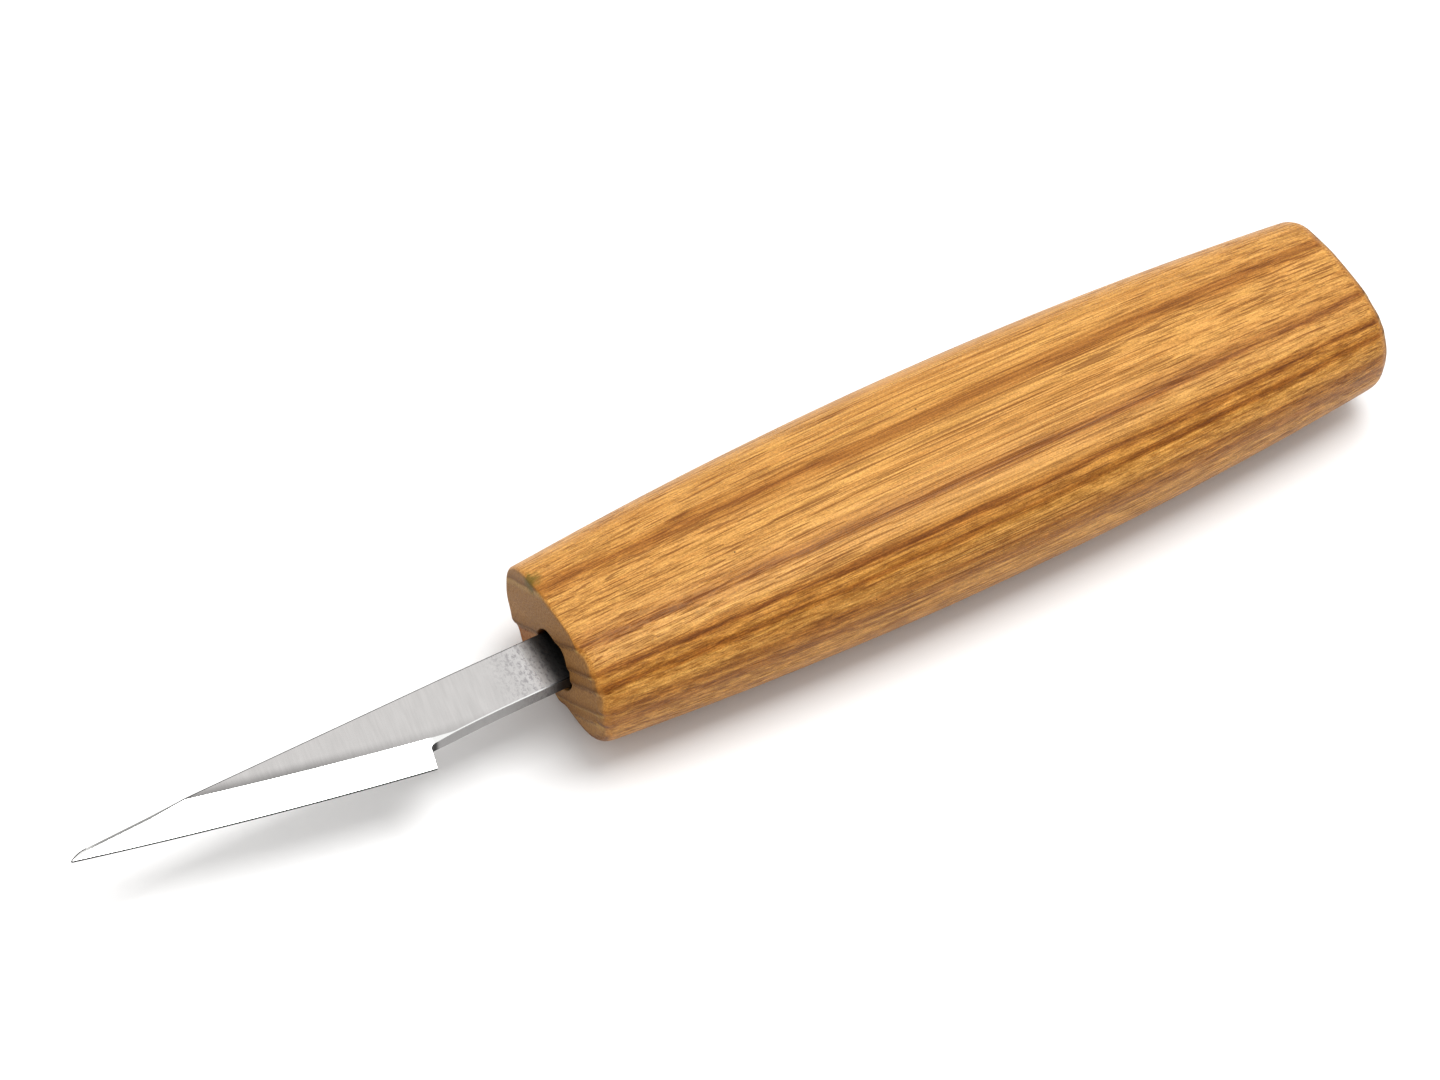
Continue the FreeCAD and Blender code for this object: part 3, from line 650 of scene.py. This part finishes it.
def new_material(name):
    material = bpy.data.materials.new(name)
    material.use_nodes = True
    return material, Graph(material)


# Screen colours across one growth ring: open wood, wood ahead of a hard line, the line, wood behind it
SIDE_TONES = ((228, 169, 93), (196, 133, 61), (136, 76, 26), (194, 131, 60))
# On the end faces the lighter band ahead of each line and the darker band behind it are partly the wood's
# tone and partly painted light and shade of the sanded relief
END_TONES_AND_RELIEF_SHADE = ((178, 136, 97), (200, 166, 120), (116, 77, 42), (160, 118, 77))
# The lines that show, and how dark each is along the handle and on its end faces, 0 to 1
TONE_LINES = (*RING_LINES, 9.5)
SIDE_DARKNESS = (0.1, 0.1, 0.75, 1.0, 0.9, 0.4)
END_DARKNESS = (0.0, 0.6, 1.0, 1.0, 1.0, 0.3)
LINE_REACH = 0.4
TONE_RISE = 0.2
TONE_FALL = 0.12
WIDE_RING = 3.4
RING_LOW = -13.5
RING_HIGH = 13.5
# How open the pores are across the rings, 0 to 1
PORE_BANDS = (
    (-13.5, 0.45),
    (-3.0, 0.3),
    (1.2, 0.55),
    (4.0, 0.45),
    (6.0, 0.9),
    (9.2, 1.0),
    (9.9, 0.3),
    (13.5, 0.5),
)
# Tones that multiply the wood's colour, by the value of the noise that spreads them
STREAK_TONES = ((0.34, (1.1, 1.17, 1.14)), (0.5, (1, 1, 1)), (0.66, (0.8, 0.7, 0.56)))
THREAD_TONES = ((0.34, (0.6, 0.53, 0.42)), (0.5, (1, 1, 1)), (0.66, (1.24, 1.3, 1.5)))
FLECK_TONES = ((0.38, (0.68, 0.58, 0.42)), (0.5, (0.96, 0.94, 0.84)), (0.62, (1.2, 1.18, 1.08)))
OIL_TINT = (0.61, 0.57, 0.49)
OIL_GLOSS = (1, 0.85, 0.6, 1)
UNDERSIDE_SHADE = (0.84, 0.77, 0.6)
END_TINT = (0.97, 0.9, 0.66)
OIL_IOR = 1.31
BUTT_SHADE = 1.4
PORE_COLOUR = (126, 68, 24)
KNOT_COLOUR = (40, 26, 14)
LOBE_COLOUR = (168, 92, 40)
RIM_WEAR_AND_HIGHLIGHT = (206, 140, 60)
UNDER_RIM_SHADE = (104, 54, 26)
STAIN_COLOUR = (112, 98, 30)
STAIN_PLACE = (0.4, 5.9, 6.9)
BORE_SHADE = (34, 20, 10)


def grey(graph, colour, value):
    """A colour made lighter or darker by a value."""
    return graph.mix(1.0, colour, graph.join(value, value, value), "MULTIPLY")


def between(first, second, share):
    """A tone part of the way from one to another."""
    return tuple(a + (b - a) * share for a, b in zip(first, second))


def ring_stops(tones, darkness):
    """Tones across all the rings, worked out from where the hard lines lie. A wide ring is paler inside."""
    open_wood, ahead, line, behind = tones
    edges = (RING_LOW, *TONE_LINES, RING_HIGH)
    stops = []
    for k, (start, finish) in enumerate(zip(edges, edges[1:])):
        gap = finish - start
        pale = between(behind, open_wood, min(gap / WIDE_RING, 1))
        if k == 0:
            stops.append((start, pale))
        else:
            stops += [(start + LINE_REACH, behind), (start + LINE_REACH + TONE_RISE * gap, pale)]
        if k == len(darkness):
            stops.append((finish, pale))
        else:
            stops += [(finish - LINE_REACH - TONE_FALL * gap, pale), (finish - LINE_REACH, ahead)]
            stops.append((finish, between(behind, line, darkness[k])))
    return stops


def ring_ramp(graph, ring, stops):
    """Colour or share for a place across the rings."""
    share = graph.remap(ring, RING_LOW, RING_HIGH, smooth=False)
    ready = []
    for place, value in stops:
        colour = linear(*value) if isinstance(value, tuple) else (value, value, value)
        ready.append(((place - RING_LOW) / (RING_HIGH - RING_LOW), colour))
    return graph.ramp(share, ready)


def make_wood():
    """Oiled ash: growth rings, open pores along the grain, ray flecks, duller end grain, painted shade on the
    underside, under the rims and in the bore, and a painted highlight on the rims.
    """
    material, graph = new_material("oiled_ash")
    x, y, z = graph.split(graph.place())
    nx, ny, nz = graph.facing()
    grown = graph.attribute("growth")

    def grain(along, across, detail, roughness=0.5):
        """Noise drawn out along the grain."""
        place = graph.scaled((x, y, z), along, across, across)
        return graph.noise(place, detail=detail, roughness=roughness)

    feather = grain(0.03, 2.2, detail=4.0, roughness=0.65)
    fibre = grain(0.07, 6.5, detail=2.0, roughness=0.6)
    ring = graph.total(grown, (feather, 1.5), (fibre, 1.0), -1.25)
    colour = ring_ramp(graph, ring, ring_stops(SIDE_TONES, SIDE_DARKNESS))

    # Broad streaks from yellow to orange brown, fine threads, and sandy speckle
    streak = grain(0.02, 2.4, detail=5.0, roughness=0.7)
    colour = graph.mix(1.0, colour, graph.ramp(streak, STREAK_TONES), "MULTIPLY")
    thread = grain(0.07, 3.2, detail=3.0, roughness=0.75)
    colour = graph.mix(1.0, colour, graph.ramp(thread, THREAD_TONES), "MULTIPLY")
    speckle = grain(3.4, 5.4, detail=2.0, roughness=0.8)
    colour = grey(graph, colour, graph.remap(speckle, 0.3, 0.7, 0.72, 1.28, smooth=False))

    # Ray flecks on the edge side, where the saw ran along the rays, and painted shade on the underside
    fleck = grain(0.3, 1.5, detail=4.0, roughness=0.75)
    flecked = graph.mix(1.0, colour, graph.ramp(fleck, FLECK_TONES), "MULTIPLY")
    colour = graph.mix(graph.remap(ny, -0.3, -0.7), colour, flecked)
    # Painted shade: faces turned downwards are darkened
    shaded = graph.mix(1.0, colour, UNDERSIDE_SHADE, "MULTIPLY")
    colour = graph.mix(graph.remap(nz, 0.2, -0.5), colour, shaded)

    # Pores
    lines = grain(0.015, 4.6, detail=1.0, roughness=0.35)
    fine = grain(0.06, 7.0, detail=1.0)
    patch = grain(0.05, 0.5, detail=1.0)
    richness = ring_ramp(graph, ring, PORE_BANDS)
    open_at = graph.total((patch, -0.16), (richness, -0.13), 0.78)
    pore = graph.remap(lines, open_at, graph.math("ADD", open_at, 0.045))
    small = graph.remap(fine, 0.57, 0.68, 0.0, 0.7)
    pores = graph.math("MAXIMUM", pore, small)
    colour = graph.mix(graph.math("MULTIPLY", pores, 0.66), colour, linear(*PORE_COLOUR))
    knot = graph.cells(graph.join(x, y, z), scale=0.16)
    colour = graph.mix(graph.remap(knot, 0.014, 0.026, 0.8, 0.0), colour, linear(*KNOT_COLOUR))

    # End grain, and the warmer worn rim around it with a painted highlight
    bare = graph.math("ABSOLUTE", nx)
    end = graph.remap(graph.math("MAXIMUM", bare, graph.math("MULTIPLY", nx, BUTT_SHADE)), 0.7, 0.9)
    rim = graph.math("MULTIPLY", graph.remap(bare, 0.15, 0.45), graph.remap(bare, 0.9, 0.7))
    cut = ring_ramp(graph, grown, ring_stops(END_TONES_AND_RELIEF_SHADE, END_DARKNESS))
    dots = graph.noise(graph.scaled((x, y, z), 0.3, 1, 1), scale=3.4, detail=2.0, roughness=0.7)
    dotted = graph.remap(dots, 0.3, 0.7, 0.68, 1.3, smooth=False)
    cut = grey(graph, graph.mix(1.0, cut, END_TINT, "MULTIPLY"), dotted)
    lobe = graph.math("MULTIPLY", graph.remap(y, 3.0, 7.0), graph.remap(grown, 2.7, 1.9))
    lobe = graph.math("MULTIPLY", lobe, graph.remap(dots, 0.3, 0.6, 0.9, 0.35))
    cut = graph.mix(lobe, cut, linear(*LOBE_COLOUR))
    # Painted highlight, with the worn wood's warmer tone, on the rounded rim
    warm = graph.mix(0.35, colour, linear(*RIM_WEAR_AND_HIGHLIGHT))
    colour = graph.mix(rim, colour, warm)
    colour = graph.mix(end, colour, cut)
    # Painted shade on the rims where they turn downwards
    under = graph.math("MULTIPLY", graph.remap(nz, -0.05, -0.24), graph.remap(bare, 0.25, 0.6))
    flecks = graph.remap(dots, 0.36, 0.56, 0.95, 0.5)
    colour = graph.mix(graph.math("MULTIPLY", under, flecks), colour, linear(*UNDER_RIM_SHADE))

    # A ragged round stain on the rim
    apart = graph.math("POWER", graph.total(z, -STAIN_PLACE[2]), 2.0)
    for value, at in ((x, STAIN_PLACE[0]), (y, STAIN_PLACE[1])):
        apart = graph.math("ADD", apart, graph.math("POWER", graph.total(value, -at), 2.0))
    ragged = graph.noise(graph.join(x, y, z), scale=1.6, detail=3.0)
    apart = graph.total((graph.math("SQRT", apart), 1.0), (ragged, 1.6), -0.8)
    stained = graph.remap(apart, 0.5, 1.7, 0.85, 0.0)
    colour = graph.mix(stained, colour, linear(*STAIN_COLOUR))

    # Painted shade inside the bore: its wall is made nearly black
    below = graph.total(z, BORE_DROP)
    off_axis = graph.math("SQRT", graph.math("MULTIPLY_ADD", below, below, graph.math("MULTIPLY", y, y)))
    inside = graph.remap(off_axis, BORE_RADIUS + 0.12, BORE_RADIUS + 0.02)
    inside = graph.math("MULTIPLY", inside, graph.remap(x, 0.1, 1.1))
    inside = graph.math("MULTIPLY", inside, graph.remap(x, HANDLE_LENGTH - 10, HANDLE_LENGTH - 20))
    colour = graph.mix(inside, colour, linear(*BORE_SHADE))

    colour = graph.mix(1.0, colour, OIL_TINT, "MULTIPLY")
    cut_dots = graph.math("MULTIPLY", dots, end)
    height = graph.total((pores, -1.0), (streak, 0.5), (speckle, 0.3), (cut_dots, 1.2))
    normal = graph.bump(height, 0.05 * MM, 0.6)
    roughness = graph.total((pores, 0.18), (end, 0.2), (speckle, 0.1), 0.34)
    graph.surface(Base_Color=colour, Roughness=roughness, Normal=normal, IOR=OIL_IOR, Specular_Tint=OIL_GLOSS)
    return material


# Along the blade: where the painted shade over the grind line fades, where spots begin, and where painted
# shade darkens the tang in the bore
GRIND_SHADE_FADE = (-34.0, -15.0)
SPOT_START = (-9.0, -3.5)
MOUTH_SHADE = (-4.0, -0.6)
MOUTH_DULL = (-5.0, -1.0)
GRIND_LINE_SHADE = 0.48
SCRATCH_SLANT = -0.17
SPOT_COLOUR = (112, 108, 114)


def make_steel(name, base, roughness, scratch, flat):
    """Ground steel with fine scratches across the blade, for the flats or else for the bevels, with painted
    shade in places.
    """
    material, graph = new_material(name)
    x, y, z = graph.split(graph.place())
    facing_y = graph.facing()[1]
    slant = graph.total(x, (y, SCRATCH_SLANT))
    coarse = graph.noise(graph.scaled((slant, y, z), 1.9, 0.16, 1), detail=2.0, roughness=0.6)
    fine = graph.noise(graph.scaled((slant, y, z), 4.6, 0.3, 1), detail=1.0)
    broad = graph.noise(graph.scaled((slant, y, z), 0.7, 0.3, 1), detail=2.0)
    lines = graph.total((coarse, 0.4), (fine, 0.3), (broad, 0.3))
    colour = grey(graph, base, graph.remap(lines, 0.32, 0.68, 1 - scratch, 1 + scratch, smooth=False))
    if flat:
        # Painted shade on the flat just over the grind line, fading out towards the handle
        above = graph.attribute("above_grind")
        soft = graph.remap(above, -0.1, 1.6, GRIND_LINE_SHADE, 1.0)
        wear_and_shade = graph.remap(x, *GRIND_SHADE_FADE, 1.0, 0.35)
        colour = graph.mix(wear_and_shade, colour, grey(graph, colour, soft))
        near = graph.remap(x, *SPOT_START)
        spots = graph.noise(graph.scaled((x, y, z), 2.6, 1.7, 1), detail=4.0, roughness=0.7)
        spotted = graph.math("MULTIPLY", graph.remap(spots, 0.46, 0.62), near)
        colour = graph.mix(graph.math("MULTIPLY", spotted, 0.5), colour, linear(*SPOT_COLOUR))
        # Painted shade in the notch corner, on the faces turned to -Y just behind the heel
        at_heel = graph.remap(x, HEEL_X + 1.1, HEEL_X + 2.0, 1.0, 0.0)
        notch = graph.math("MULTIPLY", graph.remap(facing_y, -0.3, -0.6), at_heel)
        colour = grey(graph, colour, graph.remap(notch, 0.0, 1.0, 1.0, 0.04))
        # Painted shade on the faces turned to -Y
        colour = grey(graph, colour, graph.remap(facing_y, -0.4, -0.8, 1.0, 0.62))
    else:
        # Painted shade: a dark line on the honed strip along the edge and along the spine at the nose
        off_edge = graph.attribute("off_edge")
        off_rim = graph.math("MINIMUM", off_edge, graph.attribute("off_nose"))
        colour = grey(graph, colour, graph.remap(off_rim, 1.1 * HONED_WIDTH, 1.4 * HONED_WIDTH, 0.1, 1.0))
        # Painted shade on the ground strip along the tang's lower edge, behind the heel
        colour = grey(graph, colour, graph.remap(x, HEEL_X + 0.6, HEEL_X + 1.2, 1.0, 0.14))
    colour = grey(graph, colour, graph.remap(x, *MOUTH_SHADE, 1.0, 0.07))
    normal = graph.bump(lines, 0.01 * MM, 0.3)
    rough = graph.remap(lines, 0.3, 0.7, roughness * 0.9, roughness * 1.1, smooth=False)
    rough = graph.math("ADD", rough, graph.remap(x, *MOUTH_DULL, 0.0, 0.3))
    graph.surface(Base_Color=colour, Metallic=1.0, Roughness=rough, Normal=normal)
    return material


CLOUD_TONES = ((0.35, (14, 12, 10)), (0.62, (34, 26, 18)), (0.75, (74, 52, 30)))


def make_resin():
    """Set epoxy, nearly black with wood dust and a few bubbles."""
    material, graph = new_material("set_epoxy")
    x, y, z = graph.split(graph.place())
    cloud = graph.noise(graph.join(x, y, z), scale=1.3, detail=4.0)
    colour = graph.ramp(cloud, [(share, linear(*tone)) for share, tone in CLOUD_TONES])
    bubble = graph.cells(graph.join(x, y, z), scale=2.6)
    dimple = graph.remap(bubble, 0.08, 0.2, 1.0, 0.0)
    normal = graph.bump(graph.total((cloud, 1.0), (dimple, -0.6)), 0.15 * MM, 0.6)
    graph.surface(Base_Color=colour, Roughness=0.22, Normal=normal, IOR=1.5)
    return material


# Studio


FLOOR_SHADE = (0.80, 0.80, 0.80)
FLOOR_REACH = 3.0
ROOM_NEAR = 0.92
ROOM_FAR = 1.24
ROOM_RISE = 0.5
ROOM_HORIZON = 0.1
OVERHEAD_PLACE = (0.18, 0.01, 0.70)
OVERHEAD_SIZE = 0.42
OVERHEAD_POWER = 4.2
CAMERA_AZIMUTH = math.radians(-33.19)
CAMERA_ELEVATION = math.radians(53.715)
CAMERA_ROLL = math.radians(3.517)
CAMERA_DISTANCE = 528.786 * MM
CAMERA_AIM = (-28.30 * MM, -8.03 * MM)
CAMERA_LENS = 111.2


def make_floor():
    """A pale sheet under the knife."""
    material, graph = new_material("paper")
    graph.surface(Base_Color=(*FLOOR_SHADE, 1), Roughness=0.8)
    corners = [(-FLOOR_REACH, -FLOOR_REACH, 0), (FLOOR_REACH, -FLOOR_REACH, 0)]
    corners += [(FLOOR_REACH, FLOOR_REACH, 0), (-FLOOR_REACH, FLOOR_REACH, 0)]
    new_mesh("floor", corners, [(0, 1, 2, 3)], [material])


def make_overhead():
    """A soft square box above the knife, aimed at it."""
    data = bpy.data.lights.new("overhead", "AREA")
    data.shape = "RECTANGLE"
    data.size = OVERHEAD_SIZE
    data.size_y = OVERHEAD_SIZE
    data.energy = OVERHEAD_POWER
    lamp = bpy.data.objects.new("overhead", data)
    lamp.location = OVERHEAD_PLACE
    lamp.rotation_euler = (-Vector(OVERHEAD_PLACE)).to_track_quat("-Z", "Y").to_euler()
    bpy.context.scene.collection.objects.link(lamp)


def make_light():
    """A room that is brighter behind the knife and dark at the horizon, and one soft box above."""
    scene = bpy.context.scene
    scene.view_settings.view_transform = "Standard"
    scene.view_settings.look = "None"
    world = bpy.data.worlds.new("studio")
    world.use_nodes = True
    scene.world = world
    graph = Graph(world)
    direction = graph.split(graph.node("ShaderNodeTexCoord").outputs["Generated"])
    wall = graph.remap(direction[1], -1.0, 1.0, ROOM_NEAR, ROOM_FAR, smooth=False)
    rise = graph.remap(direction[2], 0.0, ROOM_RISE, ROOM_HORIZON, 1.0)
    background = graph.node("ShaderNodeBackground")
    background.inputs[0].default_value = (1.0, 0.99, 0.98, 1)
    graph.put(background.inputs[1], graph.math("MULTIPLY", wall, rise))
    graph.put(graph.node("ShaderNodeOutputWorld").inputs[0], background.outputs[0])
    make_overhead()


def make_camera():
    """Aimed at the middle of the handle, then slid sideways and down to frame the whole knife."""
    level = Vector((math.cos(CAMERA_AZIMUTH), math.sin(CAMERA_AZIMUTH), 0))
    away = Vector((math.sin(CAMERA_AZIMUTH), -math.cos(CAMERA_AZIMUTH), 0))
    back = away * math.cos(CAMERA_ELEVATION) + Vector((0, 0, math.sin(CAMERA_ELEVATION)))
    upright = back.cross(level)
    right = level * math.cos(CAMERA_ROLL) + upright * math.sin(CAMERA_ROLL)
    up = upright * math.cos(CAMERA_ROLL) - level * math.sin(CAMERA_ROLL)
    aim = (handle_lo + handle_hi) / 2 + right * CAMERA_AIM[0] + up * CAMERA_AIM[1]
    turn = Matrix((right, up, back)).transposed().to_4x4()
    data = bpy.data.cameras.new("camera")
    data.sensor_width = 36
    data.lens = CAMERA_LENS
    data.clip_start = 0.01
    camera = bpy.data.objects.new("camera", data)
    camera.matrix_world = Matrix.Translation(aim + back * CAMERA_DISTANCE) @ turn
    bpy.context.scene.collection.objects.link(camera)
    bpy.context.scene.camera = camera


# The knife

wood = make_wood()
flat_steel = make_steel("ground_steel", (0.54, 0.53, 0.525), 0.12, 0.07, True)
bevel_steel = make_steel("polished_steel", (0.78, 0.78, 0.77), 0.1, 0.02, False)

handle = make_handle([wood])
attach(handle, "root")
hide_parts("handle")

blade = make_blade(flat_steel, bevel_steel)
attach(blade, "root")
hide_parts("blade")

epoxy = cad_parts["epoxy_bond"]
epoxy.data.materials.clear()
epoxy.data.materials.append(make_resin())

make_floor()
make_light()
make_camera()
